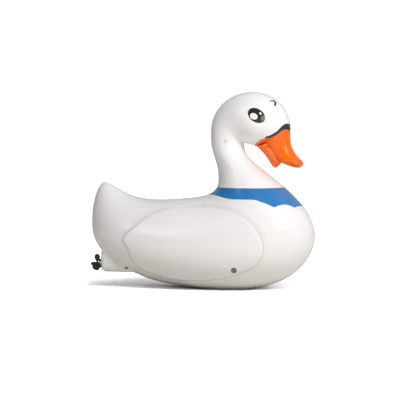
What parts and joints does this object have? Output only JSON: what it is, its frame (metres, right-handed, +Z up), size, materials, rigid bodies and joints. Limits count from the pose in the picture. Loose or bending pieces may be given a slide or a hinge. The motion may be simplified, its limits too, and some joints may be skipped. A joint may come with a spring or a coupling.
{
  "type": "floating chlorine dispenser",
  "caption": "Floating goose-shaped chlorine dispenser with a vented belly door to a tablet chamber, and twin battery-driven propellers under the tail.",
  "frame": {"origin": "on the ground, under the middle of the goose's length and width", "axes": "+X forward towards the bill, +Y to the goose's left, +Z up"},
  "size_m": [0.3612, 0.1696, 0.312],
  "materials": {
    "white_shell": "glossy warm white moulding",
    "orange_bill": "glossy orange moulding",
    "white_pan": "glossy warm white moulding",
    "black_rubber": "soft moulded",
    "grey_rubber": "soft moulded",
    "pale_rubber": "soft moulded",
    "steel": "plain",
    "blue_slider": "moulded, satin",
    "grey_plastic": "moulded, satin",
    "black_plastic": "moulded, satin",
    "green_board": "lacquered board",
    "cast_ballast": "rough cast",
    "cell_sleeve": "shrunk sleeve",
    "motor_can": "drawn can",
    "brass": "turned"
  },
  "bodies": {
    "hull": {"right_shell": "white_shell", "left_shell": "white_shell", "bill": "orange_bill", "belly_pan": "white_pan", "tablet_tub": "white_pan", "pan_gasket": "black_rubber", "hinge_pin": "steel", "battery_springs": "steel", "battery_contacts": "steel", "motor_cradle": "grey_plastic", "shell_screws": "steel", "breast_plugs": "grey_rubber", "small_plugs": "pale_rubber", "switch_body": "black_plastic", "receiver_board": "green_board", "board_screws": "steel", "antenna_rod": "steel", "ballast_weight": "cast_ballast", "cell_1": "cell_sleeve", "cell_2": "cell_sleeve", "cell_3": "cell_sleeve", "cell_4": "cell_sleeve", "motor_right": "motor_can", "motor_endbell_right": "black_plastic", "stern_tube_right": "brass", "shaft_seal_right": "black_rubber", "motor_left": "motor_can", "motor_endbell_left": "black_plastic", "stern_tube_left": "brass", "shaft_seal_left": "black_rubber"},
    "propeller_right": {"propeller_right": "black_plastic", "propeller_shaft_right": "steel", "coupling_right": "brass", "motor_shaft_right": "steel"},
    "propeller_left": {"propeller_left": "black_plastic", "propeller_shaft_left": "steel", "coupling_left": "brass", "motor_shaft_left": "steel"},
    "tablet_door": {"tablet_door": "white_pan"},
    "vent_slider": {"vent_slider": "blue_slider"},
    "battery_lid": {"battery_lid": "white_pan", "lid_screws": "steel", "lid_gasket": "black_rubber"},
    "switch_slider": {"switch_slider": "black_plastic"}
  },
  "joints": [
    {"name": "propeller_right_spin", "type": "hinge", "parent": "hull", "child": "propeller_right", "pos_m": [-0.165, -0.026, 0.037], "axis": [1, 0, 0], "continuous": true},
    {"name": "propeller_left_spin", "type": "hinge", "parent": "hull", "child": "propeller_left", "pos_m": [-0.165, 0.026, 0.037], "axis": [1, 0, 0], "continuous": true},
    {"name": "tablet_door_swing", "type": "hinge", "parent": "hull", "child": "tablet_door", "pos_m": [0.0715, 0, 0.0028], "axis": [0, -1, 0], "range_deg": [0, 95]},
    {"name": "vent_slide", "type": "slide", "parent": "tablet_door", "child": "vent_slider", "axis": [1, 0, 0], "range_m": [0, 0.0035]},
    {"name": "battery_lid_lift_off", "type": "slide", "parent": "hull", "child": "battery_lid", "axis": [-0.1942, 0, -0.981], "range_m": [0, 0.04]},
    {"name": "switch_slide", "type": "slide", "parent": "hull", "child": "switch_slider", "axis": [0, 1, 0], "range_m": [0, 0.004]}
  ]
}
